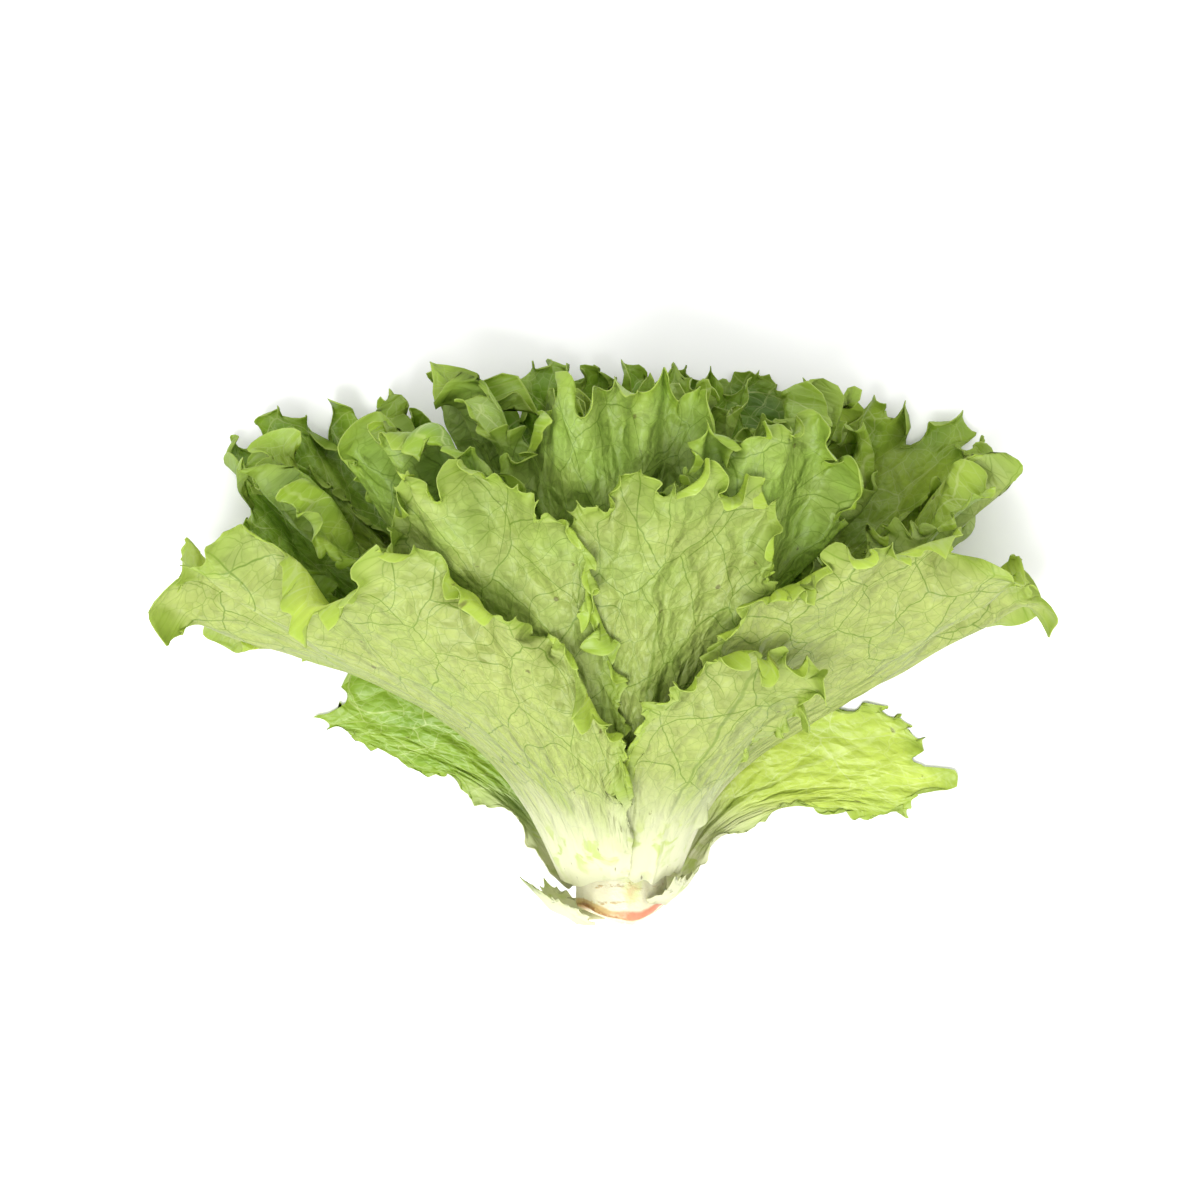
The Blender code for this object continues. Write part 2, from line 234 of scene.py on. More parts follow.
# The nest: the leaves grow round the stem like nested cups, pressed flat where the head lies. Each leaf
# follows the cup of its shell number, 0 at the heart, 1 at the outer wrap and more under it, and its
# ruffles stay inside the room that the leaves next to it leave. The same sizes made the solid leaves.
BASE_GAP = 1.6 * MM
LAMINA = 0.8 * MM
RIB_EXTRA = 1.5 * MM
RIB_HALF_WIDTH = 0.16
CLEARANCE = 0.9 * MM
ROOM_LIMITS = (0.05 * MM, 40.0 * MM)
COVER_SIDE = math.radians(9.0)
COVER_TIP = (4.0 * MM, 16.0 * MM)
LEVEL_STEP = 2.7 * MM
LEVEL_DROP = (112.0 * MM, 135.0 * MM)
WAVE_LENGTH = 34.0 * MM
FRILL_LENGTH = 21.0 * MM
SIDE_FRILL = 3.5 * MM
RUFFLE_MOST = 9.0 * MM

# The cups' shape. A pair of angles is for shell 0 and shell 1, and SIDE_FLARE for the left and the right.
SPREAD_ANGLE = (math.radians(6.0), math.radians(57.0))
TOP_ANGLE = (math.radians(4.0), math.radians(24.0))
UNDER_ANGLE = (math.radians(1.0), math.radians(7.5))
AXIS_TILT = math.radians(4.5)
TOP_DROOP = 0.28
SIDE_FLARE = (0.99, 1.10)
FLARE_SHARE = 0.33
OUTER_FLOP = math.radians(92.0)
FLOP_SHARE = 0.06
SIDE_SAG = 20.0 * MM
SAG_REACH = 40.0 * MM
OUTER_SAG = 70.0 * MM
OUTER_SAG_REACH = 30.0 * MM
HEAD_REACH = 185.0 * MM
RING_START = 1.0 * MM
RING_GROWTH = 11.0 * MM
RING_REACH = 18.0 * MM
HEART_BASE_Y = 20.0 * MM
BASE_STEP_Y = 27.0 * MM
NEST_STEP = 0.01

# name, shell, azimuth round the stem (0 is up, 90 is +X) and half width in degrees, length in mm,
# taper of the outline towards its sides and the power of that curve, turn of the midrib at the tip,
# wave and frill slopes in degrees, level above the table of its lowest parts, seed, then what is the
# scene's own: columns and rows of faces, roll of the margin, height of its small curls and of the
# blisters, and depth of green, from 0 for a bleached outer wrap to 1 for the darkest leaf.
Leaf = namedtuple(
    "Leaf",
    "name shell azimuth half_width length taper power bend wave frill level seed "
    "columns rows roll curl blister green",
)
LEAVES = [
    Leaf("leaf_under_right", 1.22, 134, 50, 104, 0.55, 2.0, 2, 28, 28, 0, 12, 130, 60, 0.7, 3.0, 0.35, 0.12),
    Leaf("leaf_under_left", 1.15, -140, 32, 114, 0.35, 2.4, -2, 28, 28, 0, 11, 120, 60, 1.2, 3.0, 0.4, 0.42),
    Leaf("leaf_wrap_left", 1.00, -64, 70, 175, 0.66, 1.9, -4, 30, 30, 1, 13, 190, 60, 1.7, 3.4, 0.5, 0.10),
    Leaf("leaf_wrap_front", 0.95, 27, 30, 104, 0.45, 2.2, 5, 30, 28, 1, 14, 120, 60, 1.7, 3.0, 0.5, 0.10),
    Leaf("leaf_back_middle", 0.96, 171, 32, 186, 0.3, 2.4, 2, 30, 30, 1, 16, 130, 38, 1.2, 2.6, 0.8, 0.80),
    Leaf("leaf_wrap_right", 0.86, 68, 50, 159, 0.20, 2.4, 4, 30, 30, 1, 15, 170, 60, 1.7, 3.4, 0.7, 0.05),
    Leaf("leaf_back_left", 0.82, -127, 36, 194, 0.3, 2.4, -3, 34, 30, 2, 17, 140, 38, 1.8, 4.2, 0.8, 0.42),
    Leaf("leaf_second_left", 0.78, -25, 27, 158, 0.3, 2.4, -4, 34, 30, 2, 19, 140, 60, 1.6, 3.4, 1.2, 0.22),
    Leaf("leaf_back_right", 0.75, 134, 36, 188, 0.3, 2.4, 3, 34, 30, 2, 18, 140, 38, 1.8, 4.2, 0.8, 0.30),
    Leaf("leaf_second_middle", 0.69, 8, 31, 150, 0.3, 2.4, 4, 34, 30, 2, 20, 140, 60, 1.6, 3.4, 0.8, 0.20),
    Leaf("leaf_side_left", 0.66, -95, 36, 178, 0.3, 2.4, 4, 36, 30, 3, 21, 140, 38, 1.8, 4.6, 0.8, 0.32),
    Leaf("leaf_side_right", 0.62, 92, 32, 180, 0.3, 2.4, -4, 36, 30, 3, 22, 130, 38, 1.8, 4.6, 0.8, 0.25),
    Leaf("leaf_third_under", 0.58, -174, 29, 176, 0.3, 2.4, 3, 30, 28, 3, 23, 110, 38, 1.8, 4.6, 0.8, 0.50),
    Leaf("leaf_third_right", 0.53, 35, 33, 164, 0.3, 2.4, -4, 38, 32, 3, 24, 140, 38, 1.8, 4.6, 0.8, 0.35),
    Leaf("leaf_third_left", 0.50, -55, 36, 168, 0.3, 2.4, 4, 38, 32, 3, 25, 140, 38, 1.8, 4.6, 0.8, 0.40),
    Leaf("leaf_fourth_right", 0.45, 125, 38, 168, 0.3, 2.4, 4, 36, 30, 3, 26, 110, 38, 1.8, 4.6, 0.8, 0.30),
    Leaf("leaf_fourth_left", 0.41, -106, 30, 170, 0.3, 2.4, -4, 36, 30, 3, 27, 110, 38, 1.8, 4.6, 0.8, 0.42),
    Leaf("leaf_fourth_top", 0.37, -4, 45, 166, 0.3, 2.4, 3, 38, 32, 3, 28, 140, 38, 1.8, 4.6, 0.8, 0.35),
    Leaf("leaf_fifth_under", 0.32, 168, 42, 168, 0.3, 2.4, -3, 34, 30, 3, 29, 90, 38, 1.8, 4.6, 0.8, 0.45),
    Leaf("leaf_fifth_right", 0.26, 75, 46, 166, 0.3, 2.4, 4, 38, 32, 3, 30, 110, 38, 1.8, 4.6, 0.8, 0.35),
    Leaf("leaf_fifth_left", 0.20, -75, 50, 166, 0.3, 2.4, -4, 38, 32, 3, 31, 110, 38, 1.8, 4.6, 0.8, 0.35),
    Leaf("leaf_heart_top", 0.12, 25, 62, 156, 0.3, 2.4, 4, 36, 32, 3, 32, 100, 38, 1.8, 4.6, 0.8, 0.30),
    Leaf("leaf_heart_under", 0.03, -150, 66, 150, 0.3, 2.4, -4, 36, 32, 3, 33, 80, 38, 1.8, 4.6, 0.8, 0.30),
    Leaf("torn_base_left", 1.38, -94, 60, 16, 0.45, 2.0, 8, 10, 20, 0, 34, 40, 60, 0.3, 1.0, 0.2, 0.0),
    Leaf("torn_base_right", 1.12, 80, 48, 13, 0.40, 2.0, -8, 10, 20, 0, 35, 40, 60, 0.3, 1.0, 0.2, 0.0),
]


def lerp(ends, share):
    """The value at that share between two ends, and beyond them in a straight line."""
    return ends[0] + (ends[1] - ends[0]) * share


def stem_radius(y):
    """Radius of the stem at height y: a cylinder up to y = 0 and half an ellipse above it."""
    share = np.clip(y / STEM_DOME, 0.0, 1.0)
    return STEM_RADIUS * np.sqrt(1.0 - share * share)


def nest_point(shell, azimuth, reach):
    """The point of a cup at an azimuth round the stem and a distance from the stem, as (..., 3)."""
    base_y = HEART_BASE_Y - BASE_STEP_Y * shell
    ring = stem_radius(base_y) + BASE_GAP
    ring = ring + (RING_START + RING_GROWTH * shell) * (1.0 - np.exp(-reach / RING_REACH))
    up, side = np.cos(azimuth), np.sin(azimuth)
    share = reach / HEAD_REACH
    upper = smooth_step(-0.5, 0.5, up)
    top_lift = lerp(TOP_ANGLE, shell) * (1.0 - TOP_DROOP * share**2)
    rise = AXIS_TILT + up * (lerp(UNDER_ANGLE, shell) * (1.0 - upper) + top_lift * upper)
    flare = lerp(SIDE_FLARE, 0.5 + 0.5 * side) * share**2 / (share**2 + FLARE_SHARE**2)
    flop = np.maximum(shell - 1.0, 0.0) * OUTER_FLOP * share / (share + FLOP_SHARE)
    spread = (lerp(SPREAD_ANGLE, shell) * flare + flop) * side
    x = ring * side + reach * np.cos(rise) * np.sin(spread)
    y = base_y + reach * np.cos(rise) * np.cos(spread)
    sag = SIDE_SAG * shell * side * side * (1.0 - np.exp(-reach / SAG_REACH))
    outer = OUTER_SAG * np.maximum(shell - 1.0, 0.0) * side * side
    sag = sag + outer * (1.0 - np.exp(-((reach / OUTER_SAG_REACH) ** 2)))
    z = STEM_AXIS_HEIGHT + ring * up + reach * np.sin(rise) - sag
    return np.stack([x, y, z], axis=-1)


def outward(shell, azimuth, reach):
    """The way out of the nest square to a cup, and the distance between cups for a step of 1 in shell."""
    step = NEST_STEP
    nearer = np.maximum(reach - MM, 0.0)
    across = nest_point(shell + step, azimuth, reach) - nest_point(shell - step, azimuth, reach)
    round_stem = nest_point(shell, azimuth + step, reach) - nest_point(shell, azimuth - step, reach)
    along = nest_point(shell, azimuth, reach + MM) - nest_point(shell, azimuth, nearer)
    normal = np.cross(round_stem, along)
    normal /= np.linalg.norm(normal, axis=-1, keepdims=True) + 1e-12
    distance = np.sum(across * normal, axis=-1) / (2.0 * step)
    return normal * np.sign(distance)[..., None], np.abs(distance)


def midrib_azimuth(leaf, reach):
    """Azimuth of the leaf's midrib at a distance from the stem."""
    return math.radians(leaf.azimuth) + math.radians(leaf.bend) * (reach / (leaf.length * MM)) ** 2


def outline_length(leaf, across):
    """Length of the leaf from the stem to its edge at a share across it, from -1 to 1."""
    return leaf.length * MM * (1.0 - leaf.taper * np.abs(across) ** leaf.power)


def covers(leaf, azimuth, reach):
    """How far a leaf's footprint covers a point of the nest: 1 inside it, falling to 0 just outside."""
    turn = (azimuth - midrib_azimuth(leaf, reach) + math.pi) % (2.0 * math.pi) - math.pi
    across = np.abs(turn) / math.radians(leaf.half_width)
    edge = COVER_SIDE / math.radians(leaf.half_width)
    sideways = 1.0 - smooth_step(1.0 + 0.5 * edge, 1.0 + 1.5 * edge, across)
    tip = outline_length(leaf, np.clip(across, 0.0, 1.0))
    return sideways * (1.0 - smooth_step(tip + COVER_TIP[0], tip + COVER_TIP[1], reach))


def room(leaf, azimuth, reach, spacing, outside):
    """How far the leaf may leave its cup, outwards or inwards, before it meets one that covers the point."""
    tightness = np.full_like(reach, 1.0 / ROOM_LIMITS[1])
    for other in LEAVES:
        step = other.shell - leaf.shell
        if step == 0.0 or (step > 0.0) != outside:
            continue
        half_gap = np.maximum(0.5 * abs(step) * spacing - 0.5 * LAMINA - CLEARANCE, ROOM_LIMITS[0])
        tightness = np.maximum(tightness, covers(other, azimuth, reach) / half_gap)
    return 1.0 / tightness


def table_floor(leaf, points, thickness):
    """Lowest height of the middle surface: the leaves press flat, one level on top of another."""
    drop = smooth_step(*LEVEL_DROP, np.hypot(points[..., 0], points[..., 1]))
    return 0.5 * thickness + LEVEL_STEP * np.maximum(leaf.level - drop, 0.0)


# The leaf blades: a limp, thin sheet with a fleshy midrib, ruffled in ever smaller waves towards its
# margin, which is cut into lobes and small pointed teeth. Each is a grid whose columns run out from the
# midrib to the margin as the side veins do, finer near the margin, and bent onto the leaf's cup.
BLADE = 0.35 * MM
THICKEST = BLADE + RIB_EXTRA
PROFILE_STEPS = 240
SHEET_COLUMNS = 240
MARGIN_STEPS = 1600
ROW_CROWDING = 1.45
FINE_FROM = (0.30, 0.78)
CORNER_POWER = 4.8
FULL_SIZE = 60.0
LOBES = 3.5 * MM
LOBE_LENGTH = 0.55 * WAVE_LENGTH
RIPPLE_LENGTH = 0.7 * WAVE_LENGTH
BULGE = math.radians(7.0)

# The margin's teeth, notches and curls: lengths of the waves along it, heights, and the bands inwards
# from it that they take up. Whole leaves are calm beside the stem, up to the reaches given here.
TOOTH = 2.6 * MM
TOOTH_SPACING = 4.0 * MM
TOOTH_BAND = 5.0 * MM
SCALLOP = 0.9 * MM
NOTCH_SPACING = 27.0 * MM
NOTCH_SHIFT = 11.0 * MM
NOTCH_DEPTH = (1.5 * MM, 6.0 * MM)
NOTCH_WIDTH = (2.0 * MM, 4.4 * MM)
NOTCH_BAND = 18.0 * MM
UNDER_NOTCH = 0.35
ROLL_LENGTH = 44.0 * MM
WIDE_BAND = 16.0 * MM
CURL_LENGTH = 14.0 * MM
NARROW_BAND = 8.5 * MM
NARROW_ROLL = 1.9
CRIMP_LENGTH = 5.6 * MM
CRIMP = 0.30
CRIMP_BAND = (6.0 * MM, 9.0 * MM)
INNER_SHELLS = (0.9, 0.6)
INNER_CRINKLE = 0.3
DOWN_AND_UP_ROLLS = (0.35, 1.0)
ROLL_LEAN = 0.25
SWAY = 2.4 * MM
SWAY_BAND = 9.0 * MM
TOOTH_REACH = (18.0 * MM, 60.0 * MM)
CURL_REACH = (32.0 * MM, 95.0 * MM)
ROLL_REACH = (35.0 * MM, 90.0 * MM)

# The big curl of the left wrap leaf: its margin dips far down there and rolls over.
HOLLOW_PLACE = 60.0 * MM
HOLLOW_WIDTH = 17.0 * MM
HOLLOW_DEPTH = 20.0 * MM
HOLLOW_FADE = 48.0 * MM
HOLLOW_ROLL = 2.4

# The neck of the lowest right leaf, the uneven start of the blades at the stem, and their blisters.
NECK = 0.30
NECK_REACH = (22.0 * MM, 58.0 * MM)
START_REACH = 30.0 * MM
BLISTER = 0.5 * MM
BLISTER_REACH = (30.0 * MM, 85.0 * MM)
SMOOTH_MIDRIB = (2.0 * MM, 8.0 * MM)

# How the blades lie: free and covered ruffles on the table, the grip of the torn bases on the stem, and
# the height at which the top of the head is rounded off.
FREE_RUFFLE = 7.0 * MM
COVERED_RUFFLE = 0.9 * MM
LYING_RISE = (-1.0 * MM, 4.0 * MM)
CLINGING = 3.2 * MM
CLINGING_REACH = 8.0 * MM
HEAD_TOP = 117.5 * MM
TOP_EASE = 9.0 * MM

# One unit of the blade's map, the distance from the margin over which its finish changes, and how much
# sooner the torn bases turn from cream to green.
MAP_UNIT = 100.0 * MM
EDGE_FADE = 20.0 * MM
TORN_ROOT = 2.2


def is_torn(leaf):
    """Whether the leaf is only a scrap left at the stem."""
    return leaf.name.startswith("torn")


def near_margin(inset, band):
    """1 on the margin, falling to 0 at a distance from it."""
    return 1.0 - smooth_step(0.0, band, inset)


def drifting_wave(arc, length, start, drift, drift_length, drift_start):
    """Angle of a wave along the margin whose length drifts, so that no two of its folds are alike."""
    return 2.0 * math.pi * arc / length + start + drift * np.sin(arc / drift_length + drift_start)


def leaf_sheet(leaf):
    """Reach and ruffle height over the leaf, from side to side and from stem to tip, as the solids have."""
    across = np.linspace(-1.0, 1.0, SHEET_COLUMNS + 1)[:, None]
    steps = np.linspace(0.0, 1.0, PROFILE_STEPS + 1)[None, :]
    phases = np.random.default_rng(leaf.seed).uniform(0.0, 2.0 * math.pi, 10)
    small = min(1.0, leaf.length / FULL_SIZE)
    arc = across * math.radians(leaf.half_width) * 0.6 * leaf.length * MM
    lobes = LOBES * np.sin(2.0 * math.pi * arc / LOBE_LENGTH + phases[5])
    length = outline_length(leaf, across) + small * lobes
    wave = np.sin(drifting_wave(arc, WAVE_LENGTH, phases[0], 0.9, 12.0 * MM, phases[1]))
    wave = wave * (0.75 + 0.25 * np.sin(arc / (9.0 * MM) + phases[2]))
    frill = np.sin(drifting_wave(arc, FRILL_LENGTH, phases[3], 0.8, 7.0 * MM, phases[4]))
    bulge = np.sin(7.0 * steps + 3.0 * across + phases[6])
    slope = math.radians(leaf.wave) * wave * smooth_step(0.52, 1.0, steps)
    slope = slope + 1.2 * math.radians(leaf.frill) * frill * smooth_step(0.80, 1.0, steps)
    slope = slope + BULGE * bulge * smooth_step(0.05, 0.3, steps)
    step_length = length / PROFILE_STEPS
    heights = np.cumsum(np.sin(slope) * step_length, axis=1)
    reaches = np.cumsum(np.cos(slope) * step_length, axis=1)
    height = np.concatenate([np.zeros_like(length), heights[:, :-1]], axis=1)
    reach = np.concatenate([np.zeros_like(length), reaches[:, :-1]], axis=1)
    side = smooth_step(0.72, 1.0, np.abs(across)) * smooth_step(0.12, 0.35, steps)
    ripple = 2.0 * math.pi * reach / RIPPLE_LENGTH + phases[7] + 2.0 * across
    height = height + SIDE_FRILL * small * side * np.sin(ripple)
    return reach, RUFFLE_MOST * np.tanh(height / RUFFLE_MOST)


def between(values, across, along):
    """Values of a grid over the leaf at any places on it."""
    column = 0.5 * (np.clip(across, -1.0, 1.0) + 1.0) * (values.shape[0] - 1)
    row = np.clip(along, 0.0, 1.0) * (values.shape[1] - 1)
    left = np.minimum(column.astype(int), values.shape[0] - 2)
    low = np.minimum(row.astype(int), values.shape[1] - 2)
    column, row = column - left, row - low
    first = values[left, low] * (1.0 - row) + values[left, low + 1] * row
    second = values[left + 1, low] * (1.0 - row) + values[left + 1, low + 1] * row
    return first * (1.0 - column) + second * column


def blade_azimuth(leaf, across, reach):
    """Azimuth of a place on the blade. The lowest right leaf narrows to a neck at the stem."""
    neck = (1.0 - NECK) * (1.0 - smooth_step(*NECK_REACH, reach)) * (leaf.name == "leaf_under_right")
    return midrib_azimuth(leaf, reach) + math.radians(leaf.half_width) * (1.0 - neck) * across


Margin = namedtuple("Margin", "turn across along arc azimuth_slope reach_slope width")


def margin_of(leaf):
    """The leaf's margin from one corner of its base round the tip to the other, and which way it runs."""
    corner = 0.5 ** (1.0 / CORNER_POWER)
    place = np.linspace(-1.0, 1.0, MARGIN_STEPS + 1)
    side = np.abs(place)
    driven = np.where(side < 0.5, side, 1.0 - side) * 2.0 * corner
    other = (1.0 - driven**CORNER_POWER) ** (1.0 / CORNER_POWER)
    across = np.sign(place) * np.where(side < 0.5, driven, other)
    along = np.where(side < 0.5, other, driven)
    reach = along * outline_length(leaf, across)
    azimuth = blade_azimuth(leaf, across, reach)
    points = nest_point(leaf.shell, azimuth, reach)
    arc = np.concatenate([[0.0], np.cumsum(np.linalg.norm(np.diff(points, axis=0), axis=1))])
    arc -= np.interp(0.0, place, arc)
    beside = nest_point(leaf.shell, azimuth + NEST_STEP, reach)
    width = np.linalg.norm(beside - points, axis=1) / NEST_STEP
    crowd = np.gradient(arc, place) * np.where(reach < 0.22 * leaf.length * MM, 0.4, 1.0)
    crowd = 0.5 * (crowd + crowd[::-1])
    turn = np.concatenate([[0.0], np.cumsum(0.5 * (crowd[1:] + crowd[:-1]))])
    turn = 2.0 * turn / turn[-1] - 1.0
    return Margin(turn, across, along, arc, np.gradient(azimuth, arc), np.gradient(reach, arc), width)


def blade_place(leaf, edge_across, edge_along, share):
    """Place on the blade at a share of the curved way from the midrib to one point of the margin."""
    wide, long = 0.75 * math.radians(leaf.half_width) * leaf.length * MM, leaf.length * MM
    end_x, end_y = edge_across * wide, edge_along * long
    start_y = 0.8 * end_y * (1.0 - 0.35 * np.abs(edge_across))
    lean_x = np.sign(edge_across) * np.abs(edge_across) ** (CORNER_POWER - 1.0) / wide
    lean_y = edge_along ** (CORNER_POWER - 1.0) / long
    reach_back = 0.5 * np.hypot(end_x, end_y - start_y) / (np.hypot(lean_x, lean_y) + 1e-9)
    bend_x = end_x - reach_back * lean_x
    bend_x = np.where(bend_x * edge_across < 0.0, 0.0, bend_x)
    bend_y = end_y - reach_back * lean_y
    share = 1.0 - (1.0 - share) ** ROW_CROWDING
    back = 1.0 - share
    across = (2.0 * share * back * bend_x + share * share * end_x) / wide
    along = (back * back * start_y + 2.0 * share * back * bend_y + share * share * end_y) / long
    return np.clip(across, -1.0, 1.0), np.clip(along, 0.0, 1.0)


def margin_inset(leaf, across, along, reach):
    """Distance from a place on the blade to the smooth margin that its teeth and notches start from."""
    near = (np.abs(across) ** CORNER_POWER + along**CORNER_POWER) ** (1.0 / CORNER_POWER) + 1e-6
    half_span = math.radians(leaf.half_width) * (15.0 * MM + 0.9 * reach)
    slope_across = (np.abs(across) / near) ** (CORNER_POWER - 1.0) / half_span
    slope_along = (along / near) ** (CORNER_POWER - 1.0) / outline_length(leaf, across)
    return np.maximum(1.0 - near, 0.0) / (np.hypot(slope_across, slope_along) + 1e-12)


def rolled(angle, band, inset):
    """How far a margin that rolls through an angle within a band draws in, and how far it lifts."""
    run = np.clip(band - inset, 0.0, 1.5 * band)
    turned = angle * run / band
    lift = run * np.sin(0.5 * turned) * np.sinc(0.5 * turned / math.pi)
    return run * (np.sinc(turned / math.pi) - 1.0), lift


def teeth_and_notches(leaf, arc, draw):
    """How far the margin stands out or is cut in at each place along it."""
    first, second, third, fourth = draw.uniform(0.0, 2.0 * math.pi, 4)
    place = arc / TOOTH_SPACING + 0.25 * np.sin(arc / (5.3 * MM) + first)
    place = place + 0.4 * np.sin(arc / (17.0 * MM) + second)
    tooth = (1.0 - np.abs(np.sin(math.pi * place))) ** 1.4
    tooth = tooth * (0.35 + 0.65 * np.sin(arc / (4.7 * MM) + third) ** 2)
    scallop = np.sin(arc / (3.1 * MM) + fourth + np.sin(arc / (9.0 * MM)))
    wobble = second + 1.5 * np.sin(arc / (6.0 * MM) + first)
    scallop = scallop + 0.8 * np.sin(arc / (1.45 * MM) + wobble)
    ragged = 1.3 if is_torn(leaf) else min(1.0, 0.35 + leaf.length / 150.0)
    edge = ragged * (TOOTH * (tooth - 0.25) + SCALLOP * scallop)
    notch = np.zeros_like(arc)
    for middle in np.arange(arc.min(), arc.max(), NOTCH_SPACING) + 0.5 * NOTCH_SPACING:
        middle = middle + draw.uniform(-NOTCH_SHIFT, NOTCH_SHIFT)
        depth = draw.uniform(*NOTCH_DEPTH)
        width = draw.uniform(*NOTCH_WIDTH)
        notch = np.maximum(notch, depth * np.exp(-(((arc - middle) / width) ** 2)))
    return edge, notch


def margin_moves(leaf, arc, inset, reach, upward, phases, draw):
    """How far the margin is moved outwards in the blade, off the blade, and along itself."""
    swing = drifting_wave(arc, CURL_LENGTH, phases[0], 1.3, 14.0 * MM, phases[1])
    billow = drifting_wave(arc, ROLL_LENGTH, phases[9], 1.4, 21.0 * MM, phases[10])
    flutter = drifting_wave(arc, CRIMP_LENGTH, phases[3], 1.2, 8.0 * MM, phases[4])
    lively = (0.70 + 0.30 * np.sin(arc / (19.0 * MM) + phases[2])) * smooth_step(*CURL_REACH, reach)
    lean_up = ROLL_LEAN * np.tanh(4.0 * upward)
    inner = smooth_step(*INNER_SHELLS, leaf.shell)
    crinkly = 1.0 + INNER_CRINKLE * inner
    wide_roll = leaf.roll * lively * smooth_step(*ROLL_REACH, reach) * (lean_up + np.sin(billow))
    narrow_roll = NARROW_ROLL * crinkly * lively * (lean_up + np.sin(swing))
    hollow = np.exp(-(((arc - HOLLOW_PLACE) / HOLLOW_WIDTH) ** 2)) * (leaf.name == "leaf_wrap_left")
    wide_roll = wide_roll + (HOLLOW_ROLL - wide_roll) * hollow

    edge, notch = teeth_and_notches(leaf, arc, draw)
    clear_of_base = smooth_step(*TOOTH_REACH, reach)
    if is_torn(leaf):
        notch = 0.0
    else:
        edge = edge * (0.25 + 0.75 * clear_of_base)
        notch = notch * clear_of_base * (UNDER_NOTCH if leaf.shell > 1.1 else 1.0)
    out = edge * near_margin(inset, TOOTH_BAND) - notch * near_margin(inset, NOTCH_BAND)
    from_edge = inset - out
    curl = 0.0
    for angle, band in ((wide_roll, WIDE_BAND), (narrow_roll, NARROW_BAND)):
        angle = angle * lerp(DOWN_AND_UP_ROLLS, smooth_step(-0.3, 0.3, np.sign(angle) * upward))
        drawn_in, lift = rolled(angle, band, from_edge)
        out, curl = out + drawn_in, curl + lift
    out = out - HOLLOW_DEPTH * hollow * near_margin(inset, HOLLOW_FADE)
    crimp = CRIMP * crinkly**2 * leaf.curl * MM * clear_of_base
    curl = curl + crimp * np.sin(flutter) * (1.0 - smooth_step(-1.0 * MM, lerp(CRIMP_BAND, inner), inset))
    sway = -SWAY * lively * np.sin(2.0 * swing) * near_margin(inset, SWAY_BAND)
    return out, curl, sway


def blisters(leaf, sheet_arc, reach, phases):
    """Height of the blisters between the veins. There are none on the midrib or near the stem."""
    puff = np.sin(sheet_arc / (3.7 * MM) + phases[5] + np.sin(reach / (9.0 * MM)))
    puff = puff * np.sin(reach / (4.6 * MM) + phases[6] + 1.5 * np.sin(sheet_arc / (11.0 * MM)))
    puff = puff + 0.5 * np.sin(sheet_arc / (2.1 * MM) + reach / (4.0 * MM) + phases[7])
    puff = puff * smooth_step(*SMOOTH_MIDRIB, np.abs(sheet_arc))
    return leaf.blister * BLISTER * puff * smooth_step(*BLISTER_REACH, reach)


def blade_thickness(across, along):
    """Thickness of a leaf: thin at the edges, with a fleshy midrib that fades towards the tip."""
    rib = 1.0 - smooth_step(0.0, RIB_HALF_WIDTH, np.abs(across))
    return BLADE + RIB_EXTRA * rib * (1.0 - smooth_step(0.15, 0.75, along))


def lay_down(leaf, points, cup, azimuth, reach, height, thickness):
    """Presses the points onto the table and the leaves below, and rounds off the top of the head."""
    floor = table_floor(leaf, cup, thickness)
    lying = smooth_step(*LYING_RISE, floor - cup[..., 2])
    covered = np.zeros_like(reach)
    for other in LEAVES:
        if other.shell < leaf.shell:
            covered = np.maximum(covered, covers(other, azimuth, reach))
    allowed = lerp((FREE_RUFFLE, COVERED_RUFFLE), covered)
    lift = 0.5 * allowed * (1.0 + np.tanh(-height / allowed - 0.6))
    rise = points[..., 2] - cup[..., 2]
    points[..., 2] = np.maximum(cup[..., 2], floor) + rise + (lift - rise) * lying
    points[..., 2] = np.maximum(points[..., 2], floor)
    over = np.maximum(points[..., 2] - (HEAD_TOP - TOP_EASE), 0.0)
    points[..., 2] += TOP_EASE * np.tanh(over / TOP_EASE) - over


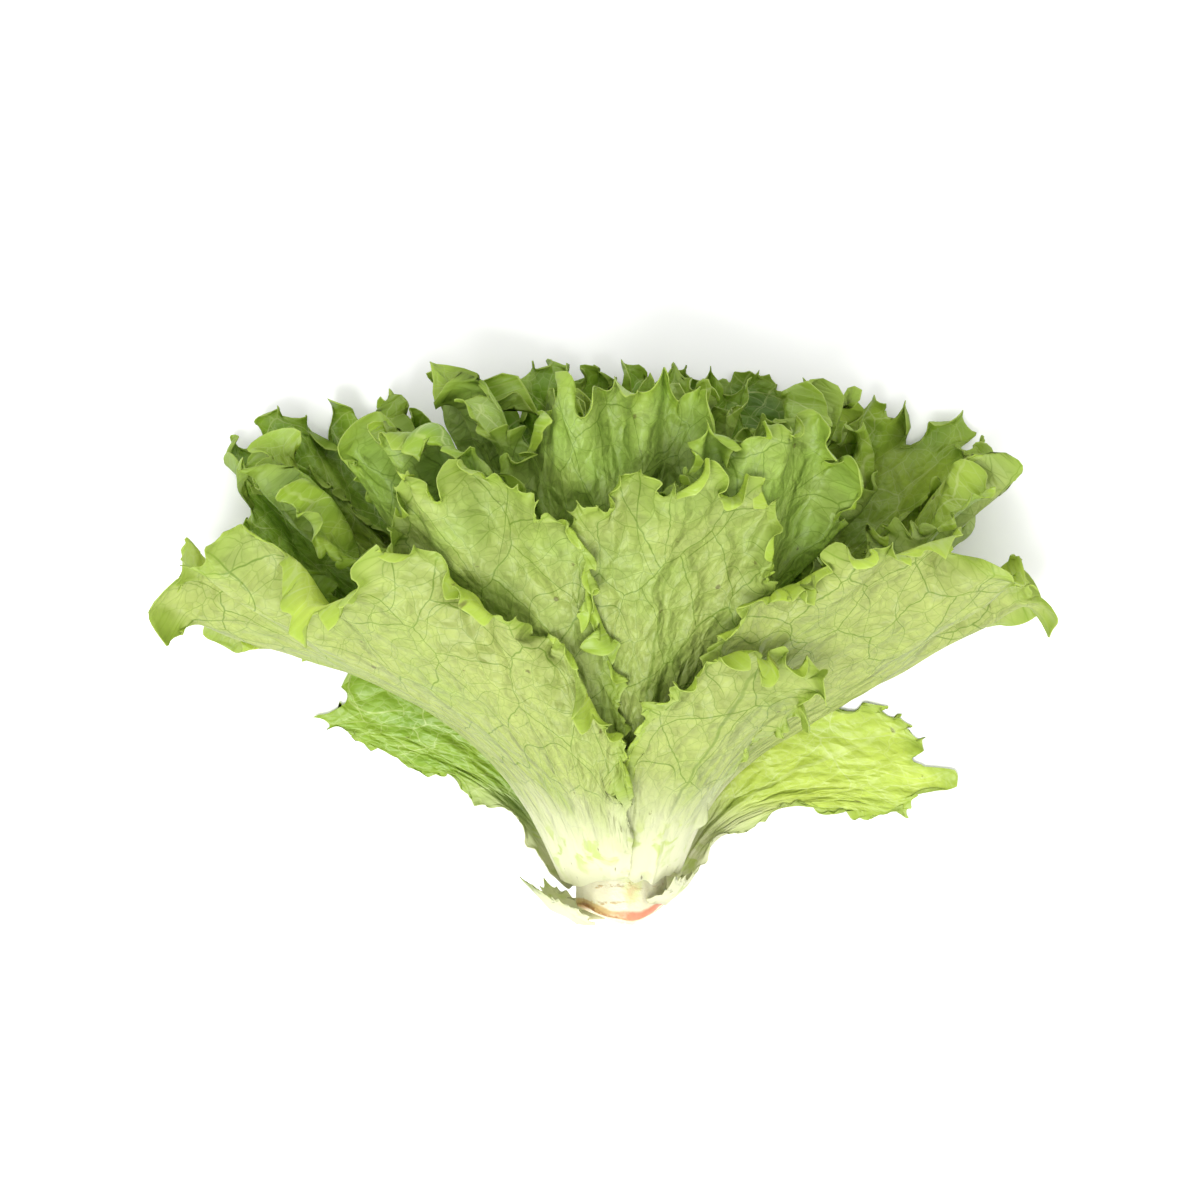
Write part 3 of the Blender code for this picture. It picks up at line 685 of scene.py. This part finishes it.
def blade_points(leaf, turn, share):
    """Middle surface of a leaf at each vertex of its grid, with the fields and the map of its finish.

    turn runs from -1 to 1 round the margin, share from 0 on the midrib to 1 on the margin.
    """
    margin = margin_of(leaf)
    draw = np.random.default_rng(leaf.seed + 500)
    phases = draw.uniform(0.0, 2.0 * math.pi, 12)
    edge_across, edge_along, arc, azimuth_slope, reach_slope, width = (
        np.interp(turn, margin.turn, values) for values in margin[1:]
    )
    skew = np.maximum(np.hypot(width * azimuth_slope, reach_slope), 1.0)
    azimuth_slope, reach_slope = azimuth_slope / skew, reach_slope / skew
    across, along = blade_place(leaf, edge_across, edge_along, share)
    sheet_reach, sheet_height = leaf_sheet(leaf)
    reach = between(sheet_reach, across, along)
    height = between(sheet_height, across, along)
    inset = margin_inset(leaf, across, along, reach)
    azimuth = blade_azimuth(leaf, across, reach)
    upward = outward(leaf.shell, azimuth, reach)[0][..., 2]
    out, curl, sway = margin_moves(leaf, arc, inset, reach, upward, phases, draw)
    if not is_torn(leaf):
        uneven = 6.5 * MM + 5.0 * MM * np.abs(across) ** 2.5 + 0.9 * MM * np.sin(9.0 * across + phases[8])
        reach = reach + uneven * (1.0 - smooth_step(0.0, START_REACH, reach))
    azimuth = blade_azimuth(leaf, across, reach)
    azimuth = azimuth - out * reach_slope / np.maximum(width, 5.0 * MM) + sway * azimuth_slope
    reach = np.maximum(reach + out * width * azimuth_slope + sway * reach_slope, 0.0)

    sheet_arc = across * math.radians(leaf.half_width) * 0.6 * leaf.length * MM
    puff = blisters(leaf, sheet_arc, reach, phases)
    height = height + curl
    normal, spacing = outward(leaf.shell, azimuth, reach)
    rooms = [room(leaf, azimuth, reach, spacing, outside) for outside in (True, False)]
    limit = np.where(height > 0.0, *rooms)
    ruffle = limit * np.tanh(height / limit) + puff * limit / (limit + 1.2 * MM)
    if is_torn(leaf):
        ruffle = ruffle - CLINGING * (1.0 - smooth_step(0.0, CLINGING_REACH, reach))
    cup = nest_point(leaf.shell, azimuth, reach)
    points = cup + ruffle[..., None] * normal
    thickness = blade_thickness(across, along)
    lay_down(leaf, points, cup, azimuth, reach, height, thickness)
    points[..., :2] += HEAD_SHIFT
    fields = {
        "margin": np.clip(inset / EDGE_FADE, 0.0, 1.0),
        "root": np.clip(reach / MAP_UNIT, 0.0, 2.0) * (TORN_ROOT if is_torn(leaf) else 1.0),
        "ray": np.abs(arc) / MAP_UNIT,
        "green": np.full_like(reach, leaf.green),
    }
    return points, thickness, fields, np.stack([sheet_arc, reach], axis=-1) / MAP_UNIT


def blade_grid(leaf):
    """A flat grid, folded together along the midrib at y = -1, with ever more columns to the margin."""
    sheet = bmesh.new()
    bmesh.ops.create_grid(sheet, x_segments=leaf.columns, y_segments=leaf.rows, size=1.0)
    for start in FINE_FROM:
        crossing = []
        for edge in sheet.edges:
            first, second = (vert.co.y for vert in edge.verts)
            if min(first, second) > start and abs(first - second) < 1e-4:
                crossing.append(edge)
        bmesh.ops.subdivide_edges(sheet, edges=crossing, cuts=1, use_grid_fill=True)
    midrib = {}
    for vert in sheet.verts:
        if vert.co.y < -0.9999:
            midrib.setdefault(round(abs(vert.co.x), 4), []).append(vert)
    pairs = {pair[0]: pair[1] for pair in midrib.values() if len(pair) == 2}
    bmesh.ops.weld_verts(sheet, targetmap=pairs)
    return sheet


def blade_piece(leaf, finishes):
    """The grid bent to the leaf's shape, then made a thin solid with a face of each finish."""
    name = leaf.name.replace("leaf_", "blade_")
    mesh = bpy.data.meshes.new(name)
    sheet = blade_grid(leaf)
    sheet.to_mesh(mesh)
    sheet.free()
    flat = np.empty(len(mesh.vertices) * 3, np.float32)
    mesh.vertices.foreach_get("co", flat)
    flat = flat.reshape(-1, 3).astype(np.float64)
    points, thickness, fields, blade_map = blade_points(leaf, flat[:, 0], 0.5 * (flat[:, 1] + 1.0))
    mesh.vertices.foreach_set("co", points.astype(np.float32).ravel())
    for key, values in fields.items():
        mesh.attributes.new(key, "FLOAT", "POINT").data.foreach_set("value", values.astype(np.float32))
    corners = np.empty(len(mesh.loops), np.int32)
    mesh.loops.foreach_get("vertex_index", corners)
    layer = mesh.uv_layers.new(name="blade")
    layer.data.foreach_set("uv", blade_map[corners].astype(np.float32).ravel())
    mesh.polygons.foreach_set("use_smooth", np.ones(len(mesh.polygons), bool))

    piece = bpy.data.objects.new(name, mesh)
    for finish in finishes:
        mesh.materials.append(finish)
    bpy.context.scene.collection.objects.link(piece)
    group = piece.vertex_groups.new(name="thickness")
    shares = np.round(thickness / THICKEST, 2)
    for share in np.unique(shares):
        group.add(np.nonzero(shares == share)[0].tolist(), float(share), "REPLACE")
    body = piece.modifiers.new("Thickness", "SOLIDIFY")
    body.thickness = THICKEST
    body.offset = 0.0
    body.vertex_group = "thickness"
    body.material_offset = 1
    body.material_offset_rim = 0
    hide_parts(leaf.name)
    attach(piece, "root")


# The finish of the leaves. The outer face is pale and waxy with a net of slightly raised, darker veins;
# the inner face is deeper green, glossier and blistered between pale, sunken veins. Both fade to cream
# at the stem and to a bright yellow-green edge, with a thin painted highlight along the very rim, and
# light shines through them.
OUTER_PALE = (0.37, 0.43, 0.12, 1.0)
OUTER_MIDDLE = (0.235, 0.375, 0.052, 1.0)
OUTER_DEEP = (0.12, 0.22, 0.030, 1.0)
OUTER_VEIN = (0.14, 0.23, 0.02, 1.0)
INNER_PALE = (0.50, 0.62, 0.085, 1.0)
INNER_MIDDLE = (0.21, 0.37, 0.028, 1.0)
INNER_DEEP = (0.050, 0.125, 0.010, 1.0)
INNER_VEIN = (0.62, 0.72, 0.26, 1.0)
EDGE_BRIGHT = (0.29, 0.42, 0.035, 1.0)
# Painted highlight: a paler line along the very rim of each leaf.
RIM_PAINTED_HIGHLIGHT = (0.50, 0.60, 0.14, 1.0)
ROOT_CREAM = (0.70, 0.71, 0.47, 1.0)
SPECK_BROWN = (0.10, 0.08, 0.02, 1.0)
BLOTCH_YELLOW = (0.46, 0.57, 0.11, 1.0)
LIGHT_THROUGH = 0.33
RELIEF_HEIGHT = 1.2 * MM
BRIGHTNESS = 1.06


def blade_finish(name, pale, middling, deep, vein_colour, vein_share, relief, unevenness, roughness, gloss):
    """One face of the leaves. relief below 0 raises the veins, and above 0 it sinks them."""
    made, add, maths, step, blend, field, noise, centred = empty_finish(name)
    margin, root, green = field("margin"), field("root"), field("green")
    blade = add("ShaderNodeUVMap", uv_map="blade").outputs[0]
    sway = add("ShaderNodeTexNoise", {"Vector": blade, "Scale": 9.0, "Detail": 3.0}).outputs["Color"]
    sway = add("ShaderNodeVectorMath", {0: sway, 1: (0.5, 0.5, 0.5)}, operation="SUBTRACT").outputs[0]
    sway = add("ShaderNodeVectorMath", {0: sway, "Scale": 0.055}, operation="SCALE").outputs[0]
    bent = add("ShaderNodeVectorMath", {0: blade, 1: sway}, operation="ADD").outputs[0]

    def net(scale_across, scale_along, shift, low, high):
        """Veins between cells, and the distance to them from inside a cell."""
        scale = (scale_across, scale_along, 1.0)
        place = add("ShaderNodeMapping", {"Vector": bent, "Location": shift, "Scale": scale})
        cells = add(
            "ShaderNodeTexVoronoi",
            {"Vector": place.outputs[0], "Scale": 1.0, "Randomness": 0.9},
            feature="DISTANCE_TO_EDGE",
            voronoi_dimensions="2D",
        ).outputs["Distance"]
        return step(cells, high, low), cells

    coarse, coarse_cells = net(5.6, 3.9, (0.0, 0.0, 0.0), 0.003, 0.015)
    middle, middle_cells = net(12.0, 9.5, (3.1, 1.7, 0.0), 0.0, 0.026)
    fine, fine_cells = net(34.0, 30.0, (7.3, 5.9, 0.0), 0.0, 0.075)
    split = add("ShaderNodeSeparateXYZ", {0: bent})
    from_midrib = maths("ABSOLUTE", split.outputs[0])
    drift = maths("MULTIPLY", noise(blade, 2.6, 1.0), 1.1)
    side_veins = maths("FRACT", maths("ADD", maths("MULTIPLY", field("ray"), 4.3), drift))
    side_veins = step(maths("ABSOLUTE", maths("SUBTRACT", side_veins, 0.5)), 0.016, 0.004)
    side_veins = maths("MULTIPLY", side_veins, step(from_midrib, 0.02, 0.07))
    midrib = maths("MULTIPLY", step(from_midrib, 0.009, 0.003), step(split.outputs[1], 1.5, 0.6))
    veins = maths("MULTIPLY", midrib, 0.7)
    for vein, strength in ((side_veins, 0.95), (coarse, 0.95), (middle, 0.7), (fine, 0.38)):
        veins = maths("MAXIMUM", veins, maths("MULTIPLY", vein, strength))

    clear = step(root, 0.12, 0.50)
    veins = maths("MULTIPLY", veins, maths("MULTIPLY_ADD", clear, 0.7, 0.3))
    patch = noise(blade, 3.5, 4.0)
    mottle = noise(blade, 22.0, 4.0, Roughness=0.6)
    depth = maths("ADD", green, centred(patch, 0.55), clamp=True)
    colour = blend(step(depth, 0.55, 1.0), blend(step(depth, 0.0, 0.55), pale, middling), deep)
    shade = maths("ADD", centred(mottle, maths("MULTIPLY", clear, unevenness)), BRIGHTNESS)
    shaded = add("ShaderNodeVectorMath", {0: colour, "Scale": shade}, operation="SCALE").outputs[0]
    colour = blend(maths("MULTIPLY", veins, vein_share), shaded, vein_colour)
    near_edge = maths("ADD", margin, centred(mottle, 0.25))
    colour = blend(maths("MULTIPLY", step(near_edge, 0.55, 0.0), 0.65), colour, EDGE_BRIGHT)
    # A painted highlight along the very rim of the margin.
    colour = blend(maths("MULTIPLY", step(margin, 0.035, 0.0), 0.35), colour, RIM_PAINTED_HIGHLIGHT)
    uneven_root = maths("ADD", root, centred(patch, 0.30))
    colour = blend(step(uneven_root, 0.52, 0.14), colour, ROOT_CREAM)
    here = add("ShaderNodeTexCoord").outputs["Object"]
    stain = step(noise(here, 130.0, 3.0, Distortion=0.6), 0.52, 0.64)
    blotch = maths("MULTIPLY", stain, step(maths("ABSOLUTE", maths("SUBTRACT", root, 0.20)), 0.17, 0.0))
    colour = blend(maths("MULTIPLY", blotch, 0.75), colour, BLOTCH_YELLOW)
    specks = add(
        "ShaderNodeTexVoronoi",
        {"Vector": blade, "Scale": 5.5, "Randomness": 1.0},
        voronoi_dimensions="2D",
    )
    speck = maths("MULTIPLY", step(specks.outputs["Distance"], 0.075, 0.03), step(mottle, 0.53, 0.60))
    colour = blend(maths("MULTIPLY", speck, 0.7), colour, SPECK_BROWN)

    pillows = step(coarse_cells, 0.0, 0.30)
    for cells, width, height in ((middle_cells, 0.35, 0.6), (fine_cells, 0.5, 0.15)):
        pillows = maths("ADD", pillows, maths("MULTIPLY", step(cells, 0.0, width), height))
    relieved = maths("MULTIPLY", pillows, maths("MULTIPLY", clear, relief))
    bump = add("ShaderNodeBump", {"Height": relieved, "Strength": 0.9, "Distance": RELIEF_HEIGHT}).outputs[0]
    skin = add(
        "ShaderNodeBsdfPrincipled",
        {"Base Color": colour, "Roughness": roughness, "Normal": bump, "Specular IOR Level": gloss},
    )
    through = add("ShaderNodeBsdfTranslucent", {"Color": colour, "Normal": bump})
    both = add("ShaderNodeMixShader", {0: LIGHT_THROUGH, 1: skin.outputs[0], 2: through.outputs[0]})
    add("ShaderNodeOutputMaterial", {"Surface": both.outputs[0]})
    return made


outer_face = blade_finish(
    "leaf outer face",
    OUTER_PALE,
    OUTER_MIDDLE,
    OUTER_DEEP,
    OUTER_VEIN,
    vein_share=0.85,
    relief=-1.1,
    unevenness=0.7,
    roughness=0.46,
    gloss=0.40,
)
inner_face = blade_finish(
    "leaf inner face",
    INNER_PALE,
    INNER_MIDDLE,
    INNER_DEEP,
    INNER_VEIN,
    vein_share=0.60,
    relief=0.7,
    unevenness=0.5,
    roughness=0.38,
    gloss=0.45,
)
for leaf in LEAVES:
    blade_piece(leaf, (outer_face, inner_face))


# The white sweep that the head lies on, a broad soft light from the stem's side, and even light from all
# round. The camera looks straight down from high above, so the head is seen almost without perspective.
FLOOR_HALF_WIDTH = 3.0
FLOOR_DROP = 0.5 * MM
FLOOR_WHITE = (0.93, 0.93, 0.93, 1.0)
FLOOR_ROUGHNESS = 0.9
ROOM_BRIGHTNESS = 1.35
SOFT_BOX_SIZE = (0.8, 0.6)
SOFT_BOX_WATTS = 22.0
SOFT_BOX_PLACE = (-0.25, -0.65, 1.35)
SOFT_BOX_TURN = (math.radians(26.0), 0.0, math.radians(-21.0))
CAMERA_HEIGHT = 1.44
CAMERA_FROM_STEM = (-7.5 * MM, 95.2 * MM)
SENSOR_WIDTH = 36.0
FRAMED_WIDTH = 0.408
FRAMED_HEIGHT = 0.04

floor_sheet = bmesh.new()
bmesh.ops.create_grid(floor_sheet, x_segments=2, y_segments=2, size=FLOOR_HALF_WIDTH)
bmesh.ops.translate(floor_sheet, verts=floor_sheet.verts, vec=(0.0, 0.0, -FLOOR_DROP))
floor_mesh = bpy.data.meshes.new("white_floor")
floor_sheet.to_mesh(floor_mesh)
floor_sheet.free()
white_floor = bpy.data.objects.new("white_floor", floor_mesh)
paper = bpy.data.materials.new("white paper")
paper.use_nodes = True
paper_surface = paper.node_tree.nodes["Principled BSDF"]
paper_surface.inputs["Base Color"].default_value = FLOOR_WHITE
paper_surface.inputs["Roughness"].default_value = FLOOR_ROUGHNESS
floor_mesh.materials.append(paper)
bpy.context.scene.collection.objects.link(white_floor)

world = bpy.data.worlds.new("white room")
world.use_nodes = True
world.node_tree.nodes["Background"].inputs["Color"].default_value = (1.0, 1.0, 1.0, 1.0)
world.node_tree.nodes["Background"].inputs["Strength"].default_value = ROOM_BRIGHTNESS
bpy.context.scene.world = world

soft_box = bpy.data.lights.new("soft_box", "AREA")
soft_box.shape = "RECTANGLE"
soft_box.size, soft_box.size_y = SOFT_BOX_SIZE
soft_box.energy = SOFT_BOX_WATTS
soft_box_stand = bpy.data.objects.new("soft_box", soft_box)
soft_box_stand.location = SOFT_BOX_PLACE
soft_box_stand.rotation_euler = SOFT_BOX_TURN
bpy.context.scene.collection.objects.link(soft_box_stand)

lens = bpy.data.cameras.new("camera")
lens.sensor_width = SENSOR_WIDTH
lens.lens = SENSOR_WIDTH * (CAMERA_HEIGHT - FRAMED_HEIGHT) / FRAMED_WIDTH
lens.clip_start = 0.05
camera = bpy.data.objects.new("camera", lens)
camera.location = (HEAD_SHIFT[0] + CAMERA_FROM_STEM[0], HEAD_SHIFT[1] + CAMERA_FROM_STEM[1], CAMERA_HEIGHT)
bpy.context.scene.collection.objects.link(camera)
bpy.context.scene.camera = camera
bpy.context.scene.view_settings.view_transform = "Standard"
